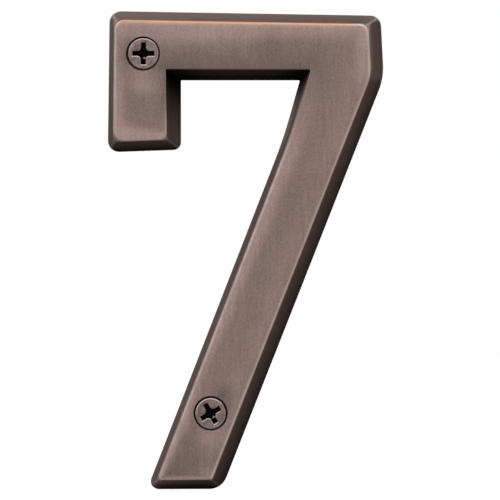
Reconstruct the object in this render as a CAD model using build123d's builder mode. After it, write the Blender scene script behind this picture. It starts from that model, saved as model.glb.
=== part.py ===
from build123d import *
import os
from math import cos, radians, sin, tan

# A cast house number seven with sloping sides and a cored back, and its two wood screws.
# Millimetres and degrees. +Z is up, the face looks along -Y, and the wall is the plane y = 0.
# The origin is midway between the two screws, on the wall.

# The outline against the wall, measured from the seven's left edge, its foot and its top
numeral_height = 101.6
bar_length = 58.0
bar_height = 14.65
bar_taper = 0.52
bar_end_lean = 3.7
shoulder_drop = 13.7
stub_length = 30.1
stub_width = 15.57
stub_flare = 0.76
stub_end_rise = 2.53
leg_width = 14.92
leg_lean = 20.9
leg_taper = 0.22
leg_bend = 5.8
leg_bend_drop = 12.1
foot_rise = 1.1

# The casting's section
numeral_depth = 6.35
side_run = 2.1
face_edge_radius = 0.5
rim_width = 2.2
face_thickness = 2.6

# Corner radii of the outline against the wall, and of the face
top_left_wall = 2.6
top_left_face = 1.9
top_right_wall = 2.4
top_right_face = 1.2
shoulder_wall = 13.0
shoulder_face = 10.0
heel_wall = 4.1
heel_face = 0.9
toe_wall = 1.8
toe_face = 0.8
stub_right_wall = 1.7
stub_right_face = 0.8
stub_left_wall = 2.5
stub_left_face = 1.9
leg_bend_radius = 110.0
inner_corner = 0.2
core_corner = 1.2

# Screw holes, and the bosses round them inside the core
upper_screw_inset = 8.26
upper_screw_drop = 9.17
lower_screw_height = 16.42
hole_clearance = 0.25
countersink_margin = 0.4
countersink_angle = 82.0
boss_wall = 1.4

# Countersunk wood screws
screw_length = 25.4
head_radius = 3.3
head_rim = 0.2
shank_radius = 1.5
thread_radius = 1.75
point_length = 5.0
point_radius = 0.2
seat_clearance = 0.05
upper_screw_turn = 0.0
lower_screw_turn = 30.0

# Cross recess in each screw head, at its mouth and at its floor
recess_span = 4.65
recess_width = 1.05
recess_corner = 0.75
recess_depth = 1.5
recess_floor_span = 2.6
recess_floor_width = 0.8
recess_floor_corner = 0.4

# The leg runs down from the shoulder, at the lower end of the bar's right edge
leg_slope = tan(radians(leg_lean))
shoulder = bar_length + shoulder_drop * tan(radians(bar_end_lean))
foot_right = shoulder - (numeral_height - shoulder_drop) * leg_slope
foot_left = foot_right - leg_width / cos(radians(leg_lean))
bar_under = numeral_height - bar_height
bend_height = bar_under - leg_bend_drop
bend = foot_left + bend_height * tan(radians(leg_lean - leg_taper))

# Each edge of the outline, clockwise from the top: a point that it passes through and its heading
outline_edges = [
    ((0, numeral_height), -bar_taper),
    ((bar_length, numeral_height), bar_end_lean - 90),
    ((foot_right, 0), -90 - leg_lean),
    ((foot_left, 0), 180 + foot_rise),
    ((foot_left, 0), 90 - leg_lean + leg_taper),
    ((bend, bend_height), 90 - leg_lean + leg_bend),
    ((stub_width, bar_under), 180 + bar_taper),
    ((stub_width, bar_under), stub_flare - 90),
    ((0, numeral_height - stub_length), 180 + stub_end_rise),
    ((0, 0), 90),
]


def seven_corners(inset):
    """The outline's corners once every edge has stepped inwards by inset, from the top right."""
    lines = []
    for (x, z), heading in outline_edges:
        along = Vector(cos(radians(heading)), sin(radians(heading)))
        inwards = Vector(along.Y, -along.X)
        lines.append((Vector(x, z) + inwards * inset, along))
    corners = []
    for (start, along), (far_start, far_along) in zip(lines, lines[1:] + lines[:1]):
        reach = (far_start - start).cross(far_along).Z / along.cross(far_along).Z
        corners.append(start + along * reach)
    return corners


# Radii of those corners, in the same order
wall_radii = [
    top_right_wall,
    shoulder_wall,
    heel_wall,
    toe_wall,
    leg_bend_radius,
    inner_corner,
    inner_corner,
    stub_right_wall,
    stub_left_wall,
    top_left_wall,
]
face_radii = [
    top_right_face,
    shoulder_face,
    heel_face,
    toe_face,
    leg_bend_radius,
    inner_corner,
    inner_corner,
    stub_right_face,
    stub_left_face,
    top_left_face,
]

# The screws stand on the lower part of the leg and where the bar meets the stub
leg_middle = (foot_left + foot_right) / 2 + lower_screw_height * leg_slope
upper_screw = Vector(upper_screw_inset, numeral_height - upper_screw_drop)
lower_screw = Vector(leg_middle, lower_screw_height)
middle = (upper_screw + lower_screw) / 2

wall_plane = Plane(origin=(-middle.X, 0, -middle.Y), x_dir=(1, 0, 0), z_dir=(0, -1, 0))
face_plane = wall_plane.offset(numeral_depth)
core_depth = numeral_depth - face_thickness
core_plane = wall_plane.offset(core_depth)
core_run = side_run * core_depth / numeral_depth
screw_hole_radius = thread_radius + hole_clearance
countersink_radius = head_radius + countersink_margin

with BuildPart() as numeral_seven:
    # The body tapers from the wall outline to the face
    with BuildSketch(wall_plane):
        with BuildLine():
            FilletPolyline(*seven_corners(0), radius=wall_radii, close=True)
        make_face()
    with BuildSketch(face_plane):
        with BuildLine():
            FilletPolyline(*seven_corners(side_run), radius=face_radii, close=True)
        make_face()
    loft(ruled=True)
    fillet(numeral_seven.faces().sort_by(Axis.Y)[0].edges(), face_edge_radius)

    # The core's walls follow the slope of the sides
    with BuildSketch(wall_plane):
        with BuildLine():
            FilletPolyline(*seven_corners(rim_width), radius=core_corner, close=True)
        make_face()
    with BuildSketch(core_plane):
        with BuildLine():
            FilletPolyline(*seven_corners(rim_width + core_run), radius=core_corner, close=True)
        make_face()
    loft(ruled=True, mode=Mode.SUBTRACT)

    # Bosses carry the screw holes through to the wall
    with BuildSketch(wall_plane):
        with Locations(upper_screw, lower_screw):
            Circle(screw_hole_radius + boss_wall)
    extrude(amount=core_depth)
    with Locations(face_plane):
        with Locations(upper_screw, lower_screw):
            CounterSinkHole(
                screw_hole_radius, countersink_radius, counter_sink_angle=countersink_angle
            )

# The head's cone lies parallel to the countersink, a seat clearance inside it
cone_slope = tan(radians(countersink_angle / 2))
cone_gap = seat_clearance / cos(radians(countersink_angle / 2))
rim_sink = (countersink_radius - cone_gap - head_radius) / cone_slope
head_sink = rim_sink - head_rim
head_height = head_rim + (head_radius - shank_radius) / cone_slope
thread_start = numeral_depth - head_sink

with BuildPart() as screw:
    # Turned profile, with the top of the head at z = 0 and the point downwards
    with BuildSketch(Plane.XZ):
        with BuildLine():
            Polyline(
                (0, 0),
                (head_radius, 0),
                (head_radius, -head_rim),
                (shank_radius, -head_height),
                (shank_radius, -thread_start),
                (thread_radius, -thread_start),
                (thread_radius, point_length - screw_length),
                (point_radius, -screw_length),
                (0, -screw_length),
                close=True,
            )
        make_face()
    revolve(axis=Axis.Z)

    # Cross recess that narrows towards its floor
    with BuildSketch() as recess_mouth:
        Rectangle(recess_span, recess_width)
        Rectangle(recess_width, recess_span)
        fillet(recess_mouth.vertices().group_by(SortBy.DISTANCE)[0], recess_corner)
    with BuildSketch(Plane.XY.offset(-recess_depth)) as recess_floor:
        Rectangle(recess_floor_span, recess_floor_width)
        Rectangle(recess_floor_width, recess_floor_span)
        fillet(recess_floor.vertices().group_by(SortBy.DISTANCE)[0], recess_floor_corner)
    loft(ruled=True, mode=Mode.SUBTRACT)

head_plane = face_plane.offset(-head_sink)
with BuildPart() as mounting_screws:
    with Locations(head_plane):
        with Locations(
            Location(upper_screw, (0, 0, 1), upper_screw_turn),
            Location(lower_screw, (0, 0, 1), lower_screw_turn),
        ):
            add(screw.part)

os.makedirs("parts", exist_ok=True)
numeral_seven.part.label = "numeral_seven"
export_step(numeral_seven.part, "parts/numeral_seven.step")
mounting_screws.part.label = "mounting_screws"
export_step(mounting_screws.part, "parts/mounting_screws.step")
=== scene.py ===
"""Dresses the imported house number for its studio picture.

The numeral is one skin carried round the seven's outline: cored back, rim, sloping flanks, rolled
face edge and brushed face. Each wood screw is a turned head with a cross recess, a shank and a
helical thread. Shapes are worked out in millimetres and put into the meshes in metres, in the CAD
model's frame: +Z up, the face towards -Y, the wall at y = 0.
"""

import logging
from collections.abc import Callable
from dataclasses import dataclass, field
from enum import Enum, IntEnum
from typing import ClassVar

import bmesh
import bpy
import numpy as np
from mathutils import Matrix, Vector
from mathutils.geometry import delaunay_2d_cdt


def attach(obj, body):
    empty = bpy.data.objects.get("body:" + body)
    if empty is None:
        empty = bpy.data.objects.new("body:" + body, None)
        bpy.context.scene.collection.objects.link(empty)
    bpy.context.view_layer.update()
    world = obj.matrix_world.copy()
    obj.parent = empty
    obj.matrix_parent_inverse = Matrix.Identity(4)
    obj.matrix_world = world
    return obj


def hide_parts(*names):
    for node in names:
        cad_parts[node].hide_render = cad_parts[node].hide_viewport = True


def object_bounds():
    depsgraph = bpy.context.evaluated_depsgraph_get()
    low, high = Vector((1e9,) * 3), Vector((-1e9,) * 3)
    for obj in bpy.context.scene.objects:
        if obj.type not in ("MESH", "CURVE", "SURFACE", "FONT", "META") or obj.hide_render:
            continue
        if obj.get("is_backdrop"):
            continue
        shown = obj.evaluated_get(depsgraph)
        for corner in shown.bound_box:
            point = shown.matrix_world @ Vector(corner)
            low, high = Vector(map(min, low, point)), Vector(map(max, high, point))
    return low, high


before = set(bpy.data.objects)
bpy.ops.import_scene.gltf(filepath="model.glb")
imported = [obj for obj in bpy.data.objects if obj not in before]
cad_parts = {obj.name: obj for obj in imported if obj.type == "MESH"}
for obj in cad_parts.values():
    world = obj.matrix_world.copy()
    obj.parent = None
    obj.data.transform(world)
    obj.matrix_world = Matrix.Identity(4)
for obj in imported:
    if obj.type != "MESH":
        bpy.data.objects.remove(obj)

LOG = logging.getLogger("house_number")
MM = 0.001
Array = np.ndarray
Colour = tuple[float, float, float]
Triple = tuple[float, float, float]
Ends = tuple[float, float]
Steps = tuple[float, ...]
Node = bpy.types.Node
Socket = bpy.types.NodeSocket
Feed = Socket | float | Colour
Feeds = dict[str | int, Feed]


class Body(Enum):
    """CAD bodies that pieces ride on."""

    WHOLE = "root"


class Slot(Enum):
    """The record's material slots."""

    CASTING = "bronze_casting"
    SCREW = "screw_metal"


class Corner(IntEnum):
    """The outline's corners, clockwise, in the order every loop keeps."""

    TOP_RIGHT = 0
    SHOULDER = 1
    HEEL = 2
    TOE = 3
    LEG_BEND = 4
    LEG_CROTCH = 5
    STUB_CROTCH = 6
    STUB_RIGHT = 7
    STUB_LEFT = 8
    TOP_LEFT = 9


class Edge(IntEnum):
    """The outline's edges, clockwise, in the order every loop keeps."""

    TOP = 0
    BAR_END = 1
    LEG_RIGHT = 2
    FOOT = 3
    LEG_LEFT = 4
    LEG_TOP_LEFT = 5
    BAR_UNDER = 6
    STUB_INNER = 7
    STUB_END = 8
    LEFT = 9


@dataclass(frozen=True)
class CornerForm:
    """One corner of the outline, with its radii in mm.

    Attributes:
        wall: radius against the wall.
        face: radius on the face.
        mitre: radius half way up, where the two flanks meet.
        line: how pale the line is where they meet: polished wear with a painted highlight.
    """

    wall: float
    face: float
    mitre: float
    line: float = 0.0


@dataclass(frozen=True)
class EdgeFinish:
    """Patina, rubbing and painted light and shade along one edge of the outline, at its first and
    last end, clockwise.

    Attributes:
        relief: how far the face is rubbed pale along the edge. Below 0 counts as none.
        relief_reach: how far in from the edge that goes, in mm.
        tone: how pale the flank is: its patina, with the light and shade that its side gets painted
            in.
        wear: how bare the rolled edge is.
        wear_spread: how far the bare metal runs down the flank, as a share of the depth.
        dull: how far the rubbing has missed the face along the edge.
        dull_reach: how far in from the edge that goes, in mm.
        wall_shade: how much darker the flank is at the wall than at the face.
        ash: how grey the flank is.
        notch_shade: how much painted shade darkens the flank where it meets its neighbour under the
            bar.
        notch_shade_reach: how far from that corner the painted shade goes, in mm.
        copper: how bright the copper line along the edge is: worn copper with a painted highlight.
        copper_shift: how far the copper line lies out from its usual place, in mm.
        wrap: how far the face's finish runs over the rolled edge, as a share of its turn.
        roll_shade: how much darker the rolled edge is than the flank, as painted shade.
    """

    relief: Ends
    relief_reach: Ends
    tone: Ends
    wear: Ends
    wear_spread: Ends = (0.02, 0.02)
    dull: Ends = (0.0, 0.0)
    dull_reach: Ends = (1.0, 1.0)
    wall_shade: Ends = (0.0, 0.0)
    ash: Ends = (0.4, 0.4)
    notch_shade: Ends = (0.0, 0.0)
    notch_shade_reach: Ends = (5.0, 5.0)
    copper: Ends = (0.0, 0.0)
    copper_shift: Ends = (0.0, 0.0)
    wrap: Ends = (0.0, 0.0)
    roll_shade: Ends = (0.0, 0.0)


@dataclass(frozen=True)
class RubbedPatch:
    """A soft patch on the face, in mm from the part's origin.

    Attributes:
        x: its middle, across.
        z: its middle, upwards.
        wide: its half width.
        tall: its half height.
        relief: how much more it is rubbed pale than the face round it.
        dull: how much more the rubbing has missed it.
    """

    x: float
    z: float
    wide: float
    tall: float
    relief: float = 0.0
    dull: float = 0.0


CORNERS: dict[Corner, CornerForm] = {
    Corner.TOP_RIGHT: CornerForm(2.4, 1.8, 0.45, 1.0),
    Corner.SHOULDER: CornerForm(13.0, 10.0, 9.0, 0.3),
    Corner.HEEL: CornerForm(4.1, 0.9, 0.6, 1.0),
    Corner.TOE: CornerForm(1.8, 0.8, 0.45, 0.8),
    Corner.LEG_BEND: CornerForm(110.0, 110.0, 110.0),
    Corner.LEG_CROTCH: CornerForm(0.2, 0.2, 0.2),
    Corner.STUB_CROTCH: CornerForm(0.2, 0.2, 0.2),
    Corner.STUB_RIGHT: CornerForm(1.7, 1.4, 0.45, 1.0),
    Corner.STUB_LEFT: CornerForm(2.5, 2.4, 0.7, 0.6),
    Corner.TOP_LEFT: CornerForm(2.6, 1.9, 0.8, 0.5),
}
# each edge's tone, wall shade, corner shade and roll shade paint in the light and shade that its
# side gets
EDGES: dict[Edge, EdgeFinish] = {
    Edge.TOP: EdgeFinish(
        relief=(0.7, 0.74),
        relief_reach=(4.8, 2.8),
        tone=(0.92, 0.58),
        wear=(0.3, 0.3),
        wall_shade=(-0.1, -0.5),
        ash=(0.9, 1.2),
        copper=(0.9, 1.0),
        copper_shift=(-0.17, 0.2),
        wrap=(0.0, 0.8),
    ),
    Edge.BAR_END: EdgeFinish(
        relief=(0.95, 0.7),
        relief_reach=(3.1, 3.1),
        tone=(1.84, 1.84),
        wear=(1.0, 0.9),
        wear_spread=(0.13, 0.12),
        wall_shade=(0.3, 0.3),
        ash=(0.05, 0.05),
    ),
    Edge.LEG_RIGHT: EdgeFinish(
        relief=(0.12, 0.28),
        relief_reach=(4.0, 4.0),
        tone=(2.0, 1.75),
        wear=(0.42, 0.62),
        wear_spread=(0.02, 0.03),
        wall_shade=(0.72, 0.72),
        ash=(0.35, 0.35),
    ),
    Edge.FOOT: EdgeFinish(
        relief=(0.7, 0.75),
        relief_reach=(0.9, 0.9),
        tone=(1.72, 3.2),
        wear=(0.0, 0.05),
        dull=(0.95, 0.95),
        dull_reach=(6.5, 7.0),
        wall_shade=(0.15, 0.15),
        ash=(0.1, 0.1),
        wrap=(0.34, 0.34),
    ),
    Edge.LEG_LEFT: EdgeFinish(
        relief=(0.85, 0.72),
        relief_reach=(1.2, 3.0),
        tone=(0.78, 0.78),
        wear=(0.57, 0.74),
        wear_spread=(0.08, 0.08),
        ash=(0.5, 0.5),
        notch_shade=(0.0, 1.0),
    ),
    Edge.LEG_TOP_LEFT: EdgeFinish(
        relief=(0.3, 0.1),
        relief_reach=(4.0, 3.0),
        tone=(0.5, 0.5),
        wear=(0.4, 0.0),
        wall_shade=(-2.5, -2.5),
        notch_shade=(1.0, 1.0),
        notch_shade_reach=(4.6, 4.6),
        roll_shade=(0.3, 0.3),
    ),
    Edge.BAR_UNDER: EdgeFinish(
        relief=(0.0, 0.0),
        relief_reach=(1.0, 1.0),
        tone=(0.74, 0.74),
        wear=(0.0, 0.0),
        dull=(0.75, 0.75),
        dull_reach=(5.0, 7.0),
        wall_shade=(0.86, 0.86),
        ash=(0.0, 0.0),
        notch_shade=(0.75, 0.75),
        notch_shade_reach=(5.5, 5.5),
        wrap=(0.45, 0.27),
    ),
    Edge.STUB_INNER: EdgeFinish(
        relief=(-0.9, 1.4),
        relief_reach=(0.6, 0.6),
        tone=(0.5, 1.2),
        wear=(0.0, 0.08),
        dull=(0.75, 0.1),
        dull_reach=(2.2, 2.2),
        wall_shade=(-0.6, 0.1),
        ash=(0.35, 0.35),
        notch_shade=(1.0, 1.0),
        notch_shade_reach=(7.0, 7.0),
        wrap=(0.0, 0.36),
        roll_shade=(0.95, 0.8),
    ),
    Edge.STUB_END: EdgeFinish(
        relief=(1.25, 1.3),
        relief_reach=(1.7, 3.2),
        tone=(1.5, 1.5),
        wear=(0.12, 0.14),
        wall_shade=(0.93, 0.93),
        ash=(0.5, 0.5),
        wrap=(0.48, 0.46),
    ),
    Edge.LEFT: EdgeFinish(
        relief=(1.05, 0.1),
        relief_reach=(2.2, 1.0),
        tone=(0.85, 1.25),
        wear=(0.75, 0.98),
        wear_spread=(0.03, 0.13),
        wall_shade=(0.1, 0.1),
        ash=(0.7, 0.7),
    ),
}
PATCHES: tuple[RubbedPatch, ...] = (
    RubbedPatch(-7.7, 31.5, 2.9, 2.6, relief=0.68),
    RubbedPatch(-11.7, 37.8, 1.2, 1.6, dull=0.25),
    RubbedPatch(9.0, 41.0, 7.5, 3.6, relief=0.24),
    RubbedPatch(20.2, 41.0, 4.0, 3.0, relief=-0.2, dull=0.15),
    RubbedPatch(5.3, -27.8, 4.0, 9.0, relief=-0.35),
    RubbedPatch(3.0, -44.8, 2.5, 3.0, dull=0.25),
    RubbedPatch(10.4, -33.9, 2.4, 1.9, dull=0.7),
    RubbedPatch(-10.7, 41.0, 1.3, 1.3, dull=0.8),
    RubbedPatch(-1.5, 36.0, 2.5, 2.0, dull=0.3),
    RubbedPatch(7.2, -43.2, 2.0, 1.9, relief=0.55),
    RubbedPatch(11.2, -35.8, 1.3, 2.0, dull=1.1),
    RubbedPatch(-6.8, 33.9, 2.4, 0.9, relief=0.4),
    RubbedPatch(2.7, -34.9, 1.3, 2.0, dull=0.85),
    RubbedPatch(-13.0, 32.2, 1.0, 4.2, dull=0.4),
)


def smooth(share: Array) -> Array:
    """Eases a share from 0 to 1 with level ends: 3s^2 - 2s^3, held between 0 and 1."""
    held = np.clip(share, 0.0, 1.0)
    return held * held * (3.0 - 2.0 * held)


def stand(flat: Array, level: Array) -> Array:
    """Stands (..., 2) points, x and z, at their y levels: (..., 3) places."""
    return np.stack([flat[..., 0], np.broadcast_to(level, flat.shape[:-1]), flat[..., 1]], axis=-1)


def spin(degrees: Array | float) -> Array:
    """Matrices that turn points, as rows, anticlockwise: ((cos, sin), (-sin, cos))."""
    cosine, sine = np.cos(np.radians(degrees)), np.sin(np.radians(degrees))
    return np.stack([np.stack([cosine, sine], -1), np.stack([-sine, cosine], -1)], axis=-2)


def gaps(points: Array, loop: Array) -> Array:
    """Distance from every point to every segment of a closed loop.

    Each point is dropped on to each segment's line, the foot is held between the segment's ends,
    and the distance to that foot is taken.

    Args:
        points: (P, 2) points.
        loop: (N, 2) points of the closed loop.

    Returns:
        (P, N) distances.
    """
    along = np.roll(loop, -1, axis=0) - loop
    offset = points[:, None, :] - loop[None, :, :]
    share = np.clip((offset * along).sum(-1) / (along * along).sum(-1), 0.0, 1.0)
    return np.linalg.norm(offset - share[..., None] * along, axis=-1)


def inside(points: Array, loop: Array) -> Array:
    """Whether each point lies inside a closed loop, by counting the edges to its right.

    Args:
        points: (P, 2) points.
        loop: (N, 2) points of the closed loop.

    Returns:
        (P,) true where the count is odd.
    """
    far = np.roll(loop, -1, axis=0)
    x, z = points[:, 0, None], points[:, 1, None]
    spans = (loop[:, 1] > z) != (far[:, 1] > z)
    rise = np.where(far[:, 1] == loop[:, 1], 1.0, far[:, 1] - loop[:, 1])
    crossing = loop[:, 0] + (z - loop[:, 1]) * (far[:, 0] - loop[:, 0]) / rise
    return (spans & (x < crossing)).sum(axis=1) % 2 == 1


@dataclass
class Skin:
    """A surface as whole arrays, in millimetres.

    Attributes:
        points: (N, 3) places.
        faces: (F, K) arrays of point numbers, one for each number K of sides.
        finish: number of the material slot that the faces take.
        values: named numbers per point, for the materials.
        BEND: how far fill bends the plane, per mm squared.
        ROW_STEP: distance between fill's rows, as a share of its spacing.
        CLEARANCE: how far fill's inner points keep from the loops, as a share of its spacing.
        MERGE: how close two points have to be for fill to take them as one, in mm.
    """

    points: Array
    faces: list[Array]
    finish: int
    values: dict[str, Array] = field(default_factory=dict)

    BEND: ClassVar[float] = 3e-4
    ROW_STEP: ClassVar[float] = 0.866
    CLEARANCE: ClassVar[float] = 0.6
    MERGE: ClassVar[float] = 1e-7

    @classmethod
    def sweep(cls, rows: Array, finish: int, values: dict[str, Array] | None = None) -> "Skin":
        """Joins closed loops one to the next with quads.

        Args:
            rows: (R, N, 3) places, R loops of N points.
            finish: material slot number.
            values: (R, N) numbers by name.

        Returns:
            The skin between the first loop and the last.
        """
        count, width = rows.shape[:2]
        here = np.arange(count * width).reshape(count, width)
        beside = np.roll(here, -1, axis=1)
        quads = np.stack([here[:-1], beside[:-1], beside[1:], here[1:]], axis=-1)
        flat = {name: value.reshape(-1) for name, value in (values or {}).items()}
        return cls(rows.reshape(-1, 3), [quads.reshape(-1, 4)], finish, flat)

    @classmethod
    def fill(
        cls,
        outer: Array,
        holes: list[Array],
        spacing: float,
        level: Callable[[Array], Array],
        finish: int,
        values: Callable[[Array], dict[str, Array]] | None = None,
    ) -> "Skin":
        """Fills the flat between an outer loop and hole loops with even triangles.

        Staggered rows of points, kept clear of the loops, are triangulated together with them by
        constrained Delaunay, and triangles outside the loop or in a hole are dropped. For that, the
        plane is bent a little, x by z^2 and z by x^2, so that no straight border gives a sliver.

        Args:
            outer: (N, 2) outer loop.
            holes: (M, 2) loops of the holes.
            spacing: distance between the inner points.
            level: gives y for (P, 2) points.
            finish: material slot number.
            values: gives the named numbers for (P, 2) points, if it has any.

        Returns:
            The filled skin.
        """
        loops = [outer, *holes]
        low, high = outer.min(axis=0), outer.max(axis=0)
        columns = np.arange(low[0], high[0], spacing)
        lines = np.arange(low[1], high[1], spacing * cls.ROW_STEP)
        x, z = np.meshgrid(columns, lines)
        x = x + 0.5 * spacing * (np.arange(len(lines)) % 2)[:, None]
        inner = np.stack([x.ravel(), z.ravel()], axis=1)
        keep = inside(inner, outer)
        for loop in loops:
            keep &= gaps(inner, loop).min(axis=1) > cls.CLEARANCE * spacing
        for hole in holes:
            keep &= ~inside(inner, hole)
        starts = np.cumsum([0] + [len(loop) for loop in loops])
        edges = [
            np.stack([np.arange(len(loop)), np.roll(np.arange(len(loop)), -1)], axis=1) + start
            for loop, start in zip(loops, starts)
        ]
        flat = np.concatenate([*loops, inner[keep]])
        bent = flat + cls.BEND * flat[:, ::-1] ** 2
        made = delaunay_2d_cdt(bent.tolist(), np.concatenate(edges).tolist(), [], 0, cls.MERGE)
        triangles = np.array(made[2])
        centres = bent[triangles].mean(axis=1)
        wanted = inside(centres, bent[: len(outer)])
        for start, stop in zip(starts[1:], starts[2:]):
            wanted &= ~inside(centres, bent[start:stop])
        numbers = values(flat) if values else {}
        return cls(stand(flat, level(flat)), [triangles[wanted]], finish, numbers)

    def capped(self, width: int) -> "Skin":
        """Closes the first and the last loop of a swept skin with a face each.

        Args:
            width: points in a loop.

        Returns:
            The same skin.
        """
        ends = np.arange(width)
        self.faces += [ends[None, :], (len(self.points) - width + ends)[None, :]]
        return self


class Piece:
    """Puts skins into one mesh object that stands at the origin.

    Attributes:
        WELD: how close two points have to be to become one, in mm.
        object: the piece's Blender object.
    """

    WELD: ClassVar[float] = 0.002

    def __init__(self, name: str, skins: list[Skin], crease: float = 33.0) -> None:
        """Welds the skins where they meet, turns their faces outwards and shades them smooth.

        Args:
            name: the piece's name.
            skins: surfaces that meet along their borders.
            crease: edges that turn by more than this many degrees stay sharp.
        """
        points = np.concatenate([skin.points for skin in skins])
        starts = np.cumsum([0] + [len(skin.points) for skin in skins])
        faces: list[list[int]] = []
        finishes: list[Array] = []
        for skin, start in zip(skins, starts):
            for group in skin.faces:
                faces += (group + start).tolist()
                finishes.append(np.full(len(group), skin.finish))
        mesh = bpy.data.meshes.new(name)
        mesh.from_pydata((points * MM).tolist(), [], faces)
        mesh.polygons.foreach_set("material_index", np.concatenate(finishes).astype(np.int32))
        for key in sorted({key for skin in skins for key in skin.values}):
            numbers = [skin.values.get(key, np.zeros(len(skin.points))) for skin in skins]
            layer = mesh.attributes.new(key, "FLOAT", "POINT")
            layer.data.foreach_set("value", np.concatenate(numbers).astype(np.float32))
        shell = bmesh.new()
        shell.from_mesh(mesh)
        bmesh.ops.remove_doubles(shell, verts=shell.verts, dist=self.WELD * MM)
        bmesh.ops.recalc_face_normals(shell, faces=shell.faces)
        shell.to_mesh(mesh)
        shell.free()
        mesh.polygons.foreach_set("use_smooth", np.ones(len(mesh.polygons), dtype=bool))
        mesh.set_sharp_from_angle(angle=np.radians(crease))
        self.object = bpy.data.objects.new(name, mesh)
        bpy.context.scene.collection.objects.link(self.object)

    def hand_over(self, node: str, materials: list[bpy.types.Material]) -> None:
        """Dresses the piece and lets it stand for a CAD node.

        Args:
            node: the CAD node that it replaces.
            materials: materials in the order of the finish numbers.
        """
        for material in materials:
            self.object.data.materials.append(material)
        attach(self.object, Body.WHOLE.value)
        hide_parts(node)
        count = len(self.object.data.polygons)
        LOG.info("%s: %d faces, stands for %s", self.object.name, count, node)


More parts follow.
